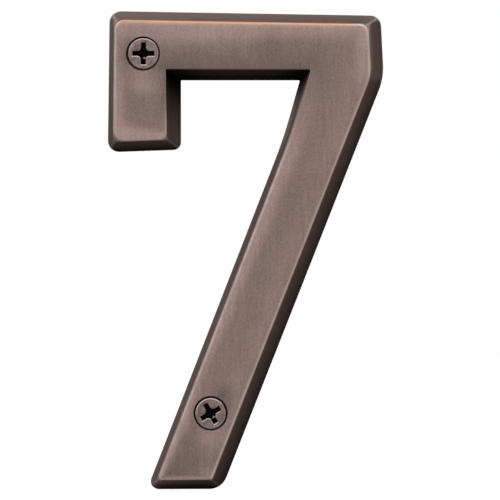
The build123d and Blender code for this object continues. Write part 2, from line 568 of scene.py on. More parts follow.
@dataclass(frozen=True)
class SevenOutline:
    """The seven's outline against the wall, measured from its left edge and its foot, in mm."""

    height: float = 101.6
    bar_length: float = 58.0
    bar_height: float = 14.65
    bar_taper: float = 0.52
    bar_end_lean: float = 3.7
    shoulder_drop: float = 13.7
    stub_length: float = 30.1
    stub_width: float = 15.57
    stub_flare: float = 0.76
    stub_end_rise: float = 2.53
    leg_width: float = 14.92
    leg_lean: float = 20.9
    leg_taper: float = 0.22
    leg_bend: float = 5.8
    leg_bend_drop: float = 12.1
    foot_rise: float = 1.1
    upper_screw_inset: float = 8.26
    upper_screw_drop: float = 9.17
    lower_screw_height: float = 16.42
    arc_steps: int = 9
    run_steps: int = 26

    def foot(self) -> Array:
        """Left and right ends of the foot, where the leg's edges would meet the ground.

        Returns:
            (2,) places across.
        """
        lean = np.radians(self.leg_lean)
        shoulder = self.bar_length + self.shoulder_drop * np.tan(np.radians(self.bar_end_lean))
        right = shoulder - (self.height - self.shoulder_drop) * np.tan(lean)
        return np.array([right - self.leg_width / np.cos(lean), right])

    def screws(self) -> Array:
        """Upper and lower screw centres: on the stub's root and the leg's centre line.

        Returns:
            (2, 2) points.
        """
        middle = self.foot().mean()
        climb = self.lower_screw_height * np.tan(np.radians(self.leg_lean))
        upper = (self.upper_screw_inset, self.height - self.upper_screw_drop)
        return np.array([upper, (middle + climb, self.lower_screw_height)])

    def origin(self) -> Array:
        """The part's origin on the outline: midway between the screws."""
        return self.screws().mean(axis=0)

    def edges(self) -> tuple[Array, Array]:
        """The straight edges, clockwise from the top.

        Returns:
            (10, 2) points that the edges pass through, and their (10,) headings in radians.
        """
        left, right = self.foot()
        under = self.height - self.bar_height
        bend = under - self.leg_bend_drop
        slope = np.tan(np.radians(self.leg_lean - self.leg_taper))
        points = [
            (0.0, self.height),
            (self.bar_length, self.height),
            (right, 0.0),
            (left, 0.0),
            (left, 0.0),
            (left + bend * slope, bend),
            (self.stub_width, under),
            (self.stub_width, under),
            (0.0, self.height - self.stub_length),
            (0.0, 0.0),
        ]
        headings = [
            -self.bar_taper,
            self.bar_end_lean - 90.0,
            -90.0 - self.leg_lean,
            180.0 + self.foot_rise,
            90.0 - self.leg_lean + self.leg_taper,
            90.0 - self.leg_lean + self.leg_bend,
            180.0 + self.bar_taper,
            self.stub_flare - 90.0,
            180.0 + self.stub_end_rise,
            90.0,
        ]
        return np.array(points), np.radians(headings)

    def turns(self) -> Array:
        """How far the heading turns at each corner, in radians, negative to the right.

        Returns:
            (10,) turns between -pi and pi.
        """
        headings = self.edges()[1]
        turn = np.roll(headings, -1) - headings
        return (turn + np.pi) % (2.0 * np.pi) - np.pi

    def loop(self, inset: float, radii: Array) -> Array:
        """The outline once every edge has stepped inwards, with rounded corners.

        Neighbouring edges are crossed to get the corners. At each one, an arc of the given radius
        runs from one edge to the next, and straight runs join the arcs.

        Args:
            inset: how far the edges step inwards.
            radii: (10,) corner radii.

        Returns:
            (10 * (arc_steps + run_steps), 2) points, measured from the part's origin.
        """
        points, headings = self.edges()
        along = np.stack([np.cos(headings), np.sin(headings)], axis=1)
        starts = points + inset * np.stack([along[:, 1], -along[:, 0]], axis=1)
        far_along = np.roll(along, -1, axis=0)
        apart = np.roll(starts, -1, axis=0) - starts
        across = along[:, 0] * far_along[:, 1] - along[:, 1] * far_along[:, 0]
        reach = (apart[:, 0] * far_along[:, 1] - apart[:, 1] * far_along[:, 0]) / across
        turn = self.turns()
        setback = radii * np.tan(np.abs(turn) / 2.0)
        begins = starts + along * (reach - setback)[:, None]
        facing = headings[:, None] + turn[:, None] * np.linspace(0.0, 1.0, self.arc_steps)
        swing = np.stack(
            [
                np.sin(facing) - np.sin(headings)[:, None],
                np.cos(headings)[:, None] - np.cos(facing),
            ],
            axis=-1,
        )
        arcs = begins[:, None, :] + (radii * np.sign(turn))[:, None, None] * swing
        ends, nexts = arcs[:, -1:], np.roll(arcs[:, :1], -1, axis=0)
        share = np.linspace(0.0, 1.0, self.run_steps + 2)[None, 1:-1, None]
        runs = ends + (nexts - ends) * share
        return np.concatenate([arcs, runs], axis=1).reshape(-1, 2) - self.origin()

    def arc_middles(self, corners: list[Corner]) -> Array:
        """Places in a loop's points of the middles of the corners' arcs."""
        return np.array(corners) * (self.arc_steps + self.run_steps) + self.arc_steps // 2

    def along_loop(self, at_ends: Array) -> Array:
        """Spreads two numbers per edge over a loop: even along the runs, eased across the arcs.

        Args:
            at_ends: (10, 2) numbers at each edge's first and last end.

        Returns:
            One number for every point of a loop.
        """
        before, after = at_ends[:, 1:], np.roll(at_ends, -1, axis=0)
        arcs = before + (after[:, :1] - before) * smooth(np.linspace(0.0, 1.0, self.arc_steps))
        share = np.linspace(0.0, 1.0, self.run_steps + 2)[1:-1]
        runs = after[:, :1] + (after[:, 1:] - after[:, :1]) * share
        return np.concatenate([arcs, runs], axis=1).ravel()

    def on_arcs(self, at_corners: Array) -> Array:
        """Spreads one number per corner over a loop: times sin^4 round its arc, nil on the runs.

        Args:
            at_corners: (10,) numbers.

        Returns:
            One number for every point of a loop.
        """
        rise = np.sin(np.linspace(0.0, np.pi, self.arc_steps))[None, :] ** 4
        arcs = at_corners[:, None] * rise
        return np.concatenate([arcs, np.zeros((len(at_corners), self.run_steps))], axis=1).ravel()


@dataclass(frozen=True)
class LoopRow:
    """One loop of the casting's front, with what its finish needs.

    Attributes:
        loop: (N, 2) points, x and z.
        level: its y.
        flank: 1 on the flank, falling to 0 on the face.
        wear: how bare it is, as a share of its edge's wear: one number or (N,).
        past: its place in mm inwards from the face's outline.
    """

    loop: Array
    level: float
    flank: float
    wear: Array | float
    past: float


@dataclass
class NumeralCasting:
    """The seven itself: sloping flanks, a rolled face edge, a brushed face and a cored back.

    Lengths are in mm. A land is the short straight part of a countersink at its mouth, and a break
    is a small chamfer on an edge.
    """

    # Sizes shared with the solids
    outline: SevenOutline = field(default_factory=SevenOutline)
    depth: float = 6.35
    side_run: float = 2.1
    edge_radius: float = 0.5
    rim_width: float = 2.2
    face_thickness: float = 2.6
    core_corner: float = 1.2
    hole_radius: float = 2.0
    mouth_radius: float = 3.7
    sink_angle: float = 82.0
    boss_radius: float = 3.4

    # Finer forms
    crown: float = 0.05
    crown_width: float = 1.7
    least_radius: float = 0.08
    wall_roll: tuple[Ends, ...] = ((0.08, 0.0), (0.04, 0.017), (0.03, 0.06))
    mouth_lands: Ends = (0.08, 0.07)
    mouth_shifts: tuple[Ends, ...] = ((-0.05, -0.05), (0.05, 0.05))
    land_break: float = 0.03
    land_lead: float = 0.12
    sink_border: float = 0.15
    boss_break: float = 0.1
    core_break: float = 0.12
    core_root: float = 0.2

    # Patina, wear, painted shade and the copper line with its painted highlight
    # the countersinks' tones: their patina, darkened by painted shade in the groove round each head
    sink_tones: Ends = (0.24, 0.17)
    notch_shade_strength: float = 0.94
    roll_ease: float = 0.5
    roll_bared: float = 0.25
    flank_wear: float = 0.9
    border_wear: float = 0.35
    border_wear_run: float = 0.3
    copper_below: float = 0.65
    copper_rise: float = 0.6
    copper_past: float = 0.1
    copper_fall: float = 1.0
    copper_end: float = 35.5
    copper_fade: float = 2.5

    # Places of the loops, and how fine the meshes are
    flank_climb: Steps = (
        0.02, 0.12, 0.22, 0.33, 0.44, 0.55, 0.65, 0.74, 0.81, 0.87, 0.91, 0.935
    )
    border_insets: Steps = (0.42, 0.5, 0.6, 0.7, 0.85, 1.05, 1.3)
    core_climb: Steps = (0.04, 0.2, 0.4, 0.6, 0.8)
    core_root_angles: Steps = (20.0, 40.0, 60.0, 80.0)
    roll_steps: int = 9
    root_steps: int = 5
    hole_steps: int = 72
    face_spacing: float = 1.15
    floor_spacing: float = 2.0

    FRONT: ClassVar[int] = 0
    BACK: ClassVar[int] = 1

    @staticmethod
    def at_corners(name: str) -> Array:
        """One of the corners' numbers, by its name, (10,)."""
        return np.array([getattr(CORNERS[corner], name) for corner in Corner])

    def spread(self, name: str) -> Array:
        """One of the edges' numbers, by its name, for every point of a loop."""
        return self.outline.along_loop(np.array([getattr(EDGES[edge], name) for edge in Edge]))

    def lean(self) -> float:
        """The flank's slope against the wall, in radians."""
        return np.arctan2(self.depth, self.side_run)

    def setback(self) -> float:
        """How far the roll reaches from the face's sharp outline: radius * tan(lean / 2)."""
        return self.edge_radius * np.tan(self.lean() / 2.0)

    def core_depth(self) -> float:
        """How deep the core goes from the wall."""
        return self.depth - self.face_thickness

    def hole_centres(self) -> Array:
        """Screw centres measured from the part's origin, (2, 2)."""
        return self.outline.screws() - self.outline.origin()

    def inner_loop(self, past: float) -> Array:
        """The face's outline stepped in by a further distance, its radii changed by as much."""
        radii = self.at_corners("face") + np.sign(self.outline.turns()) * past
        return self.outline.loop(self.side_run + past, np.maximum(radii, self.least_radius))

    def crown_drop(self, past: Array) -> Array:
        """How far the face falls back near its edge: crown * (1 - past / width)^2."""
        share = np.clip(1.0 - np.maximum(past, 0.0) / self.crown_width, 0.0, 1.0)
        return self.crown * share * share

    def face_level(self, points: Array) -> Array:
        """The face's y at (P, 2) points: its crown falls with the gap to the face's outline."""
        return self.crown_drop(gaps(points, self.inner_loop(0.0)).min(axis=1)) - self.depth

    def rubbing(self, points: Array) -> dict[str, Array]:
        """How far rubbing has lightened the face or missed it.

        Along the edges, relief is the strongest of weight * exp(-(gap / reach)^4) over the face
        outline's segments, and dull is the same with ^2. Each patch adds its own amount times
        exp(-(dx / wide)^2 - (dz / tall)^2).

        Args:
            points: (P, 2) points on the face.

        Returns:
            The (P,) numbers relief and dull.
        """
        away = gaps(points, self.inner_loop(0.0))
        pale = np.exp(-((away / self.spread("relief_reach")) ** 4))
        missed = np.exp(-((away / self.spread("dull_reach")) ** 2))
        relief = (self.spread("relief") * pale).max(axis=1)
        dull = (self.spread("dull") * missed).max(axis=1)
        for patch in PATCHES:
            offset = (points - np.array([patch.x, patch.z])) / np.array([patch.wide, patch.tall])
            share = np.exp(-(offset * offset).sum(axis=1))
            relief = relief + patch.relief * share
            dull = dull + patch.dull * share
        return {"relief": relief, "dull": dull}

    def flank_radii(self, climb: float) -> Array:
        """Corner radii part way up the flanks.

        The wall's radius dies away as (1 - climb)^4 and the face's grows in as climb^6. In between,
        the flanks meet in a tight mitre.

        Args:
            climb: 0 at the wall, 1 at the face.

        Returns:
            (10,) radii.
        """
        wall, mitre, face = (self.at_corners(name) for name in ("wall", "mitre", "face"))
        return mitre + (wall - mitre) * (1.0 - climb) ** 4 + (face - mitre) * climb**6

    def flank_tone(self, points: Array, climb: Array) -> Array:
        """Tone of the flanks: their patina, with painted light and shade on top.

        Each edge has its own tone, which paints in the light and shade that its side gets. It
        changes towards the wall by the edge's wall shade, and near the inner corners, where shade
        falls, painted shade makes it fall by exp(-(gap / reach)^2). The gap is measured to the
        nearer inner corner on the same loop.

        Args:
            points: (R, N, 2) points of the loops.
            climb: (R, 1) place of each loop, 0 at the wall, 1 at the face.

        Returns:
            (R, N) tones.
        """
        # painted shade that darkens the flanks near the inner corners under the bar
        crotches = points[:, self.outline.arc_middles([Corner.LEG_CROTCH, Corner.STUB_CROTCH])]
        gap = np.linalg.norm(points[:, :, None] - crotches[:, None], axis=-1).min(axis=-1)
        dark = self.spread("notch_shade") * np.exp(-((gap / self.spread("notch_shade_reach")) ** 2))
        fall = 1.0 - self.spread("wall_shade") * (1.0 - climb)
        return self.spread("tone") * fall * (1.0 - self.notch_shade_strength * dark)

    def roll_tone(self, flank: Array) -> Array:
        """Painted shade on the rolled edge: 1 - roll_shade * smooth((1 - flank) / roll_ease)."""
        return 1.0 - self.spread("roll_shade") * smooth((1.0 - flank) / self.roll_ease)

    def copper_highlight_line(self, points: Array, past: Array) -> Array:
        """How much copper shows on each loop: worn copper, with a painted highlight along it.

        It is eased in over the flank's top and out on the face, and it fades before the bar's end.

        Args:
            points: (R, N, 2) points of the loops.
            past: (R, 1) places of the loops, in mm inwards from the face's outline.

        Returns:
            (R, N) shares.
        """
        place = past + self.spread("copper_shift")
        begun = smooth((place + self.copper_below) / self.copper_rise)
        line = begun * (1.0 - smooth((place - self.copper_past) / self.copper_fall))
        ending = 1.0 - smooth((points[..., 0] - self.copper_end) / self.copper_fade)
        return self.spread("copper") * line * ending

    def wall_rows(self) -> list[LoopRow]:
        """The small roll on the wall's edge: the wall outline, stepped in and raised.

        Returns:
            The loops, from the wall upwards.
        """
        radii = self.at_corners("wall")
        return [
            LoopRow(self.outline.loop(inset, radii), -rise, 1.0, 0.0, -self.side_run)
            for inset, rise in self.wall_roll
        ]

    def flank_rows(self) -> list[LoopRow]:
        """The flanks: loops that step inwards as they climb, on the radii of flank_radii.

        Towards the roll, which starts at top, their wear is
        flank_wear * exp(-((top - climb) / wear_spread)^2).

        Returns:
            The loops, from the wall upwards.
        """
        top = 1.0 - self.setback() / np.hypot(self.depth, self.side_run)
        bare = self.spread("wear_spread")
        return [
            LoopRow(
                loop=self.outline.loop(self.side_run * climb, self.flank_radii(climb)),
                level=-self.depth * climb,
                flank=1.0,
                wear=self.flank_wear * np.exp(-(((top - climb) / bare) ** 2)),
                past=self.side_run * (climb - 1.0),
            )
            for climb in self.flank_climb
        ]

    def roll_rows(self) -> list[LoopRow]:
        """The rolled edge: an arc from the flank's slope to the face, bare but for its last turn.

        Returns:
            The loops, from the flank to the face.
        """
        rows = []
        for angle in np.linspace(self.lean(), 0.0, self.roll_steps):
            turn = angle / self.lean()
            past = self.setback() - self.edge_radius * np.sin(angle)
            level = self.edge_radius * (1.0 - np.cos(angle)) - self.depth + self.crown_drop(past)
            wear = np.interp(turn, [0.0, self.roll_bared], [self.border_wear, 1.0])
            rows.append(LoopRow(self.inner_loop(past), level, turn, wear, past))
        return rows

    def border_rows(self) -> list[LoopRow]:
        """The face's border: loops that step inwards, with wear that dies away evenly.

        Returns:
            The loops, from the roll inwards.
        """
        rows = []
        for past in self.border_insets:
            left = max(0.0, 1.0 - (past - self.setback()) / self.border_wear_run)
            level = self.crown_drop(past) - self.depth
            rows.append(LoopRow(self.inner_loop(past), level, 0.0, self.border_wear * left, past))
        return rows

    def front_band(self) -> tuple[Skin, Array]:
        """The flanks, the rolled edge and the border of the face, as loops from wall to face.

        Returns:
            The skin and its last loop.
        """
        rows = [*self.wall_rows(), *self.flank_rows(), *self.roll_rows(), *self.border_rows()]
        flat = np.array([row.loop for row in rows])
        shape = flat.shape[:2]
        level = np.array([[row.level] for row in rows])
        past = np.array([[row.past] for row in rows])
        flank = np.broadcast_to(np.array([[row.flank] for row in rows]), shape)
        worn = np.array([np.broadcast_to(row.wear, shape[1]) for row in rows])
        values = {
            "flank": flank,
            "arris": worn * self.spread("wear"),
            # copper: worn copper along the top edge, with a painted highlight
            "copper": self.copper_highlight_line(flat, past),
            # mitre: the pale line up each mitre, polished wear with a painted highlight
            "mitre": flank * self.outline.on_arcs(self.at_corners("line")),
            # tone: the flanks' patina with painted light and shade, darker still on the rolled edge
            "tone": self.flank_tone(flat, -level / self.depth) * self.roll_tone(flank),
            "wrap": np.broadcast_to(self.spread("wrap"), shape),
            "ash": np.broadcast_to(self.spread("ash"), shape),
        }
        rubbed = self.rubbing(flat.reshape(-1, 2))
        values |= {name: value.reshape(shape) for name, value in rubbed.items()}
        return Skin.sweep(stand(flat, level), self.FRONT, values), flat[-1]

    def face(self, border: Array) -> Skin:
        """The flat of the face inside its border, round the two countersinks.

        Args:
            border: (N, 2) last loop of the front band.

        Returns:
            The filled skin.
        """
        wide = self.mouth_radius + self.sink_border
        rings = [self.ring(centre, wide) for centre in self.hole_centres()]
        return Skin.fill(
            border, rings, self.face_spacing, self.face_level, self.FRONT, self.rubbing
        )

    def ring(self, centre: Array, radius: float) -> Array:
        """A circle of points round a screw's axis: centre + radius * (sin, cos)."""
        angle = np.linspace(0.0, 2.0 * np.pi, self.hole_steps, endpoint=False)
        return centre + radius * np.stack([np.sin(angle), np.cos(angle)], axis=1)

    def turned_skin(
        self, profile: list[tuple[Array, float, float]], finish: int, tone: float
    ) -> Skin:
        """Turns a profile round a screw's axis.

        Args:
            profile: middle, radius and level of each ring.
            finish: material slot number.
            tone: how pale it is: its patina, with painted shade in the countersink.

        Returns:
            The skin from the first ring to the last.
        """
        flat = np.array([self.ring(middle, radius) for middle, radius, _ in profile])
        shape = flat.shape[:2]
        level = np.array([[level] for _, _, level in profile])
        rubbed = self.rubbing(flat.reshape(-1, 2)) if finish == self.FRONT else {}
        values = {name: value.reshape(shape) for name, value in rubbed.items()}
        values["flank"] = np.ones(shape) * (np.arange(shape[0]) > 1)[:, None]
        values["tone"] = np.full(shape, tone)
        return Skin.sweep(stand(flat, level), finish, values)

    def turned_hole(
        self, centre: Array, straight: float, shift: Array, tone: float
    ) -> list[Skin]:
        """One screw hole as a profile turned round its axis.

        From the face, the land and the countersink's cone lead to the bore, the bore leads to the
        boss's end on the wall, and the boss's outside leads down to the core's floor.

        Args:
            centre: the screw's axis, measured from the part's origin.
            straight: how far the land narrows the countersink's mouth.
            shift: how far the land stands off the screw's axis, (2,).
            tone: how pale the countersink is: its patina, darkened by painted shade.

        Returns:
            The countersink in the front finish and the rest in the back finish.
        """
        slope = np.tan(np.radians(self.sink_angle / 2.0))
        top = -self.depth
        neck = top + (self.mouth_radius - self.hole_radius) / slope
        land, off = self.mouth_radius - straight, centre + shift
        sink = [
            (centre, self.mouth_radius + self.sink_border, top),
            (off, land + self.land_break, top),
            (off, land, top + self.land_break),
            (off, land, top + straight / slope),
            (centre, land - self.land_lead, top + (straight + self.land_lead) / slope),
            (centre, self.hole_radius, neck),
        ]
        bore = [
            (centre, self.hole_radius, neck),
            (centre, self.hole_radius, -self.boss_break),
            (centre, self.hole_radius + self.boss_break, 0.0),
            (centre, self.boss_radius - self.boss_break, 0.0),
            (centre, self.boss_radius, -self.boss_break),
        ]
        angle = np.linspace(0.0, np.pi / 2.0, self.root_steps)
        root_radius = self.boss_radius + self.core_root * (1.0 - np.cos(angle))
        root_level = self.core_root * (1.0 - np.sin(angle)) - self.core_depth()
        bore += [(centre, *place) for place in zip(root_radius, root_level)]
        return [
            self.turned_skin(sink, self.FRONT, tone),
            self.turned_skin(bore, self.BACK, tone),
        ]

    def back(self, wall_loop: Array) -> list[Skin]:
        """The rim on the wall, the core's sloping walls and its floor round the bosses.

        The walls run evenly from the core's mouth to its floor and end in a small arc at its root.

        Args:
            wall_loop: the loop on the wall where the flanks begin.

        Returns:
            The band from rim to floor, and the floor.
        """
        deep = self.core_depth()
        inner = self.rim_width + self.side_run * deep / self.depth
        radii = np.full(len(Corner), self.core_corner)
        signs = np.sign(self.outline.turns())
        mouth, floor = self.outline.loop(self.rim_width, radii), self.outline.loop(inner, radii)
        chamfer = self.rim_width - self.core_break
        rows = [
            (wall_loop, 0.0),
            (self.outline.loop(chamfer, radii - self.core_break * signs), 0.0),
        ]
        rows += [(mouth + (floor - mouth) * share, -deep * share) for share in self.core_climb]
        for angle in np.radians(self.core_root_angles):
            step = self.core_root * (1.0 - np.cos(angle))
            rise = self.core_root * (1.0 - np.sin(angle))
            rows.append((self.outline.loop(inner + step, radii + step * signs), rise - deep))
        rows.append((self.outline.loop(inner + self.core_root, radii), -deep))
        flat = np.array([loop for loop, _ in rows])
        level = np.array([[level] for _, level in rows])
        wide = self.boss_radius + self.core_root
        holes = [self.ring(centre, wide) for centre in self.hole_centres()]
        floor_skin = Skin.fill(
            flat[-1],
            holes,
            self.floor_spacing,
            lambda points: np.full(len(points), -deep),
            self.BACK,
        )
        return [Skin.sweep(stand(flat, level), self.BACK), floor_skin]

    def build(self, front: bpy.types.Material, back: bpy.types.Material) -> None:
        """Welds all the skins into one closed casting and dresses it.

        Args:
            front: finish of the face, the flanks and the countersinks.
            back: finish of the rim, the core and the bosses.
        """
        band, border = self.front_band()
        wall_loop = band.points[: len(border), [0, 2]]
        skins = [band, self.face(border), *self.back(wall_loop)]
        trims = zip(self.hole_centres(), self.mouth_lands, self.mouth_shifts, self.sink_tones)
        for centre, straight, shift, tone in trims:
            skins += self.turned_hole(centre, straight, np.array(shift), tone)
        piece = Piece("bronze_seven", skins)
        piece.hand_over("numeral_seven", [front, back])


@dataclass(frozen=True)
class ScrewRow:
    """One loop of a screw, before it is turned and set in place.

    Attributes:
        shape: (N, 2) points across the head.
        deep: depth below the head's top.
        hollow: how far painted shade blackens it: one number or (N,).
        bare: how much painted highlight it carries: one number or (N,).
    """

    shape: Array
    deep: float
    hollow: Array | float = 0.0
    bare: Array | float = 0.0


@dataclass
class WoodScrew:
    """One countersunk wood screw, built along its axis from the head towards the point.

    Lengths are in mm, and depths count from the head's top. The lip is the chamfer round the
    recess, and the ridge is the thread.
    """

    name: str
    centre: Ends
    turn: float
    tone: float

    # Sizes shared with the solids
    head_level: float = -6.166
    length: float = 25.4
    head_radius: float = 3.3
    head_rim: float = 0.2
    cone_angle: float = 82.0
    shank_radius: float = 1.5
    crest_radius: float = 1.75
    point_length: float = 5.0
    recess_span: float = 4.65
    recess_width: float = 1.05
    recess_corner: float = 0.75
    recess_depth: float = 1.5
    floor_span: float = 2.6
    floor_width: float = 0.8
    floor_corner: float = 0.4

    # Finer forms of the head and the shank
    dish: float = 0.35
    dish_shares: Steps = (0.02, 0.5, 0.62, 0.78, 0.88)
    lip_run: float = 0.21
    lip_drop: float = 0.095
    lip_soft: float = 0.1
    lip_past: float = 0.04
    flat_rings: Ends = (2.7, 2.95)
    rim_start: float = 0.15
    rim_steps: int = 5
    rim_break: float = 0.06
    neck_flare: float = 0.05
    shank_past_wall: float = 0.2
    root_past_wall: float = 1.0
    waist_place: float = 0.55
    waist_share: float = 0.5
    tip_radius: float = 0.1
    tip_length: float = 0.12
    tip_end: float = 0.01

    # Thread
    root_radius: float = 1.2
    pitch: float = 1.41
    turn_steps: int = 40
    thread_gap: float = 0.5
    run_out: float = 0.6
    tip_share: float = 0.05
    ridge_sink: float = 0.06
    ridge_root: float = 0.07
    ridge_half: float = 0.4
    ridge_slope: float = 0.35
    ridge_least: float = 0.05
    crest_half: float = 0.06

    # Painted highlights: the glint in the recess, the lips and the rim
    glint_bright: float = 0.85
    glint_from: float = 0.92
    glint_ease: float = 0.06
    lip_highlight: float = 0.55
    lip_from: float = 0.3
    lip_ease: float = 0.4
    rim_least: float = 0.5
    rim_gain: float = 1.3
    rim_up: float = 0.92
    rim_left: float = 0.4
    rim_from: float = 0.1
    rim_ease: float = 0.9
    rim_inset: float = 0.1
    rim_reach: float = 0.16

    METAL: ClassVar[int] = 0
    CREASE: ClassVar[float] = 21.0

    def place(self, across: Array, deep: Array) -> Array:
        """Puts head-plane points and depths into the part frame: turned, moved and set back."""
        return stand(across @ spin(self.turn) + np.array(self.centre), self.head_level + deep)

    @staticmethod
    def cross(span: float, width: float, corner: float) -> Array:
        """A cross with rounded inner corners, one arm's half tip to the next, turned four times.

        Each quarter has 4 points on the half tip, 4 along the arm, 7 round the corner and 5 along
        the next arm.

        Args:
            span: from arm tip to arm tip.
            width: width of an arm.
            corner: radius of the inner corners.

        Returns:
            (4 * 20, 2) points.
        """
        reach, half = span / 2.0, width / 2.0
        root = half + corner
        tip = np.stack([np.full(4, reach), np.linspace(0.0, half, 4)], axis=1)
        side = np.linspace((reach, half), (root, half), 6)[1:-1]
        angle = np.linspace(-np.pi / 2.0, -np.pi, 7)
        bend = root + corner * np.stack([np.cos(angle), np.sin(angle)], axis=1)
        upper = np.linspace((half, root), (half, reach), 6)[1:]
        quarter = np.concatenate([tip, side, bend, upper])
        turns = spin(np.array([0.0, 90.0, 180.0, 270.0]))
        return np.einsum("qk,tkj->tqj", quarter, turns).reshape(-1, 2)

    def up_and_left(self) -> tuple[Array, Array]:
        """The part's up and left as they lie in the head's plane before it is turned."""
        turn = spin(self.turn)
        return turn[:, 1], -turn[:, 0]

    def recess_rows(self, mouth: Array, lip: Array, toward: Array) -> list[ScrewRow]:
        """The recess, from the middle of its dished floor to the flat just past its lip.

        It is black with painted shade but for a painted glint on the floor's lower arm. Where the
        lip looks up, it carries a painted highlight of
        lip_highlight * smooth((inwards . up - lip_from) / lip_ease).

        Args:
            mouth: (N, 2) cross at the lip's foot.
            lip: (N, 2) cross at the lip's top.
            toward: (N, 2) directions from the axis to the lip's points.

        Returns:
            The loops, from the middle outwards.
        """
        floor = self.cross(self.floor_span, self.floor_width, self.floor_corner)
        below = -floor[:, 1] / np.linalg.norm(floor, axis=1)
        # a painted glint: a gap in the painted shade on the floor's lower arm
        glint = 1.0 - self.glint_bright * smooth((below - self.glint_from) / self.glint_ease)
        inwards = (mouth - lip) / np.linalg.norm(mouth - lip, axis=1, keepdims=True)
        up, _ = self.up_and_left()
        # painted highlight on the lips that look up
        bright = self.lip_highlight * smooth((inwards @ up - self.lip_from) / self.lip_ease)
        dished = [
            ScrewRow(floor * share, self.recess_depth + self.dish * (1.0 - share), dark)
            for share, dark in zip(self.dish_shares, (1.0, 1.0, glint, glint, 1.0))
        ]
        foot = mouth + (lip - mouth) * self.lip_soft
        past = lip + (toward * self.flat_rings[0] - lip) * self.lip_past
        return [
            *dished,
            ScrewRow(floor, self.recess_depth, 1.0),
            ScrewRow(floor + (mouth - floor) * 0.5, self.recess_depth * 0.5, 1.0),
            ScrewRow(mouth, self.lip_drop, 1.0, bright),
            ScrewRow(foot, self.lip_drop * (1.0 - self.lip_soft), 0.0, bright),
            ScrewRow(lip, 0.0, 0.0, bright),
            ScrewRow(past, 0.0),
        ]

    def profile(self) -> list[tuple[float, float]]:
        """Radii and depths of the turned parts, from the head's flat to the point.

        The head's rim is an arc of radius head_rim that leads to its cone.

        Returns:
            Pairs of radius and depth.
        """
        slope = np.tan(np.radians(self.cone_angle / 2.0))
        head_height = self.head_rim + (self.head_radius - self.shank_radius) / slope
        wall, taper = -self.head_level, self.length - self.point_length
        waist = taper + self.waist_place * self.point_length
        angle = np.linspace(self.rim_start, 1.0, self.rim_steps) * np.pi / 2.0
        rim_radii = self.head_radius - self.head_rim * (1.0 - np.sin(angle))
        rim_depths = self.head_rim * (1.0 - np.cos(angle))
        return [
            *((radius, 0.0) for radius in self.flat_rings),
            *zip(rim_radii, rim_depths),
            (self.head_radius - 0.5 * self.rim_break, self.head_rim + self.rim_break),
            (self.shank_radius + self.neck_flare, head_height - 0.5 * self.rim_break),
            (self.shank_radius, head_height + self.rim_break),
            (self.shank_radius, wall + self.shank_past_wall),
            (self.root_radius, wall + self.root_past_wall),
            (self.root_radius, taper),
            (self.root_radius * self.waist_share, waist),
            (self.tip_radius, self.length - self.tip_length),
            (self.tip_end, self.length - self.tip_end),
        ]

    def turned(self) -> Skin:
        """Recess, head, shank, threaded core and point as loops from the recess floor outwards.

        Every loop has the recess mouth's points. On the turned parts, each point keeps its
        direction from the axis and takes the profile's radius. The head's rim carries a painted
        highlight where the light from the upper left meets it, which falls off across the rim as
        exp(-(gap / rim_reach)^2).

        Returns:
            The skin, closed at both ends by its first and last loops.
        """
        mouth = self.cross(self.recess_span, self.recess_width, self.recess_corner)
        wider = 2.0 * self.lip_run
        lip = self.cross(
            self.recess_span + wider, self.recess_width + wider, self.recess_corner - self.lip_run
        )
        toward = lip / np.linalg.norm(lip, axis=1, keepdims=True)
        up, left = self.up_and_left()
        # painted highlight on the head's rim, strongest where it faces the light from the upper
        # left
        facing = toward @ (self.rim_up * up + self.rim_left * left)
        worn = self.rim_least + self.rim_gain * smooth((facing + self.rim_from) / self.rim_ease)
        rows = self.recess_rows(mouth, lip, toward)
        for radius, deep in self.profile():
            gap = (radius - self.head_radius + self.rim_inset) / self.rim_reach
            bare = worn * np.exp(-(gap**2)) if deep <= self.head_rim else 0.0
            rows.append(ScrewRow(toward * radius, deep, 0.0, bare))
        across = np.array([row.shape for row in rows])
        deep = np.array([[row.deep] for row in rows])
        width = len(mouth)
        values = {
            "hollow": np.array([np.broadcast_to(row.hollow, width) for row in rows]),
            "arris": np.array([np.broadcast_to(row.bare, width) for row in rows]),
            "tone": np.full((len(rows), width), self.tone),
        }
        return Skin.sweep(self.place(across, deep), self.METAL, values).capped(width)

    def thread(self) -> Skin:
        """The thread as a four-sided ridge carried along a helix.

        The helix turns clockwise as it goes in. Its crest rises over the first turn, keeps the
        thread's radius, and follows the point's taper down to nothing.

        Returns:
            The closed ridge, its root just inside the core.
        """
        start, stop = self.thread_gap - self.head_level, self.length - self.thread_gap
        turns = (stop - start) / self.pitch
        along = np.linspace(0.0, 1.0, int(turns * self.turn_steps))
        deep = start + (stop - start) * along
        angle = 2.0 * np.pi * turns * along
        taper = self.length - self.point_length
        waist = taper + self.waist_place * self.point_length
        core = self.root_radius * np.interp(
            deep, [start, taper, waist, self.length], [1.0, 1.0, self.waist_share, self.tip_share]
        )
        grown = smooth(along * turns) * smooth((1.0 - along) * turns * self.run_out)
        height = self.crest_radius - self.root_radius + self.ridge_sink
        crest = core - self.ridge_sink + height * grown
        root = core - self.ridge_root
        half = np.minimum(self.ridge_half, self.ridge_slope * core + self.ridge_least)
        flat = np.full_like(half, self.crest_half)
        radii = np.stack([root, crest, crest, root], axis=1)
        depths = deep[:, None] + np.stack([-half, -flat, flat, half], axis=1)
        ways = np.stack([np.sin(angle), np.cos(angle)], axis=1)
        rows = self.place(radii[..., None] * ways[:, None, :], depths)
        values = {"tone": np.full(rows.shape[:2], self.tone)}
        return Skin.sweep(rows, self.METAL, values).capped(rows.shape[1])

    def build(self, metal: bpy.types.Material) -> None:
        """Makes the screw and dresses it.

        Args:
            metal: finish of the whole screw.
        """
        piece = Piece(self.name, [self.turned(), self.thread()], self.CREASE)
        piece.hand_over("mounting_screws", [metal])


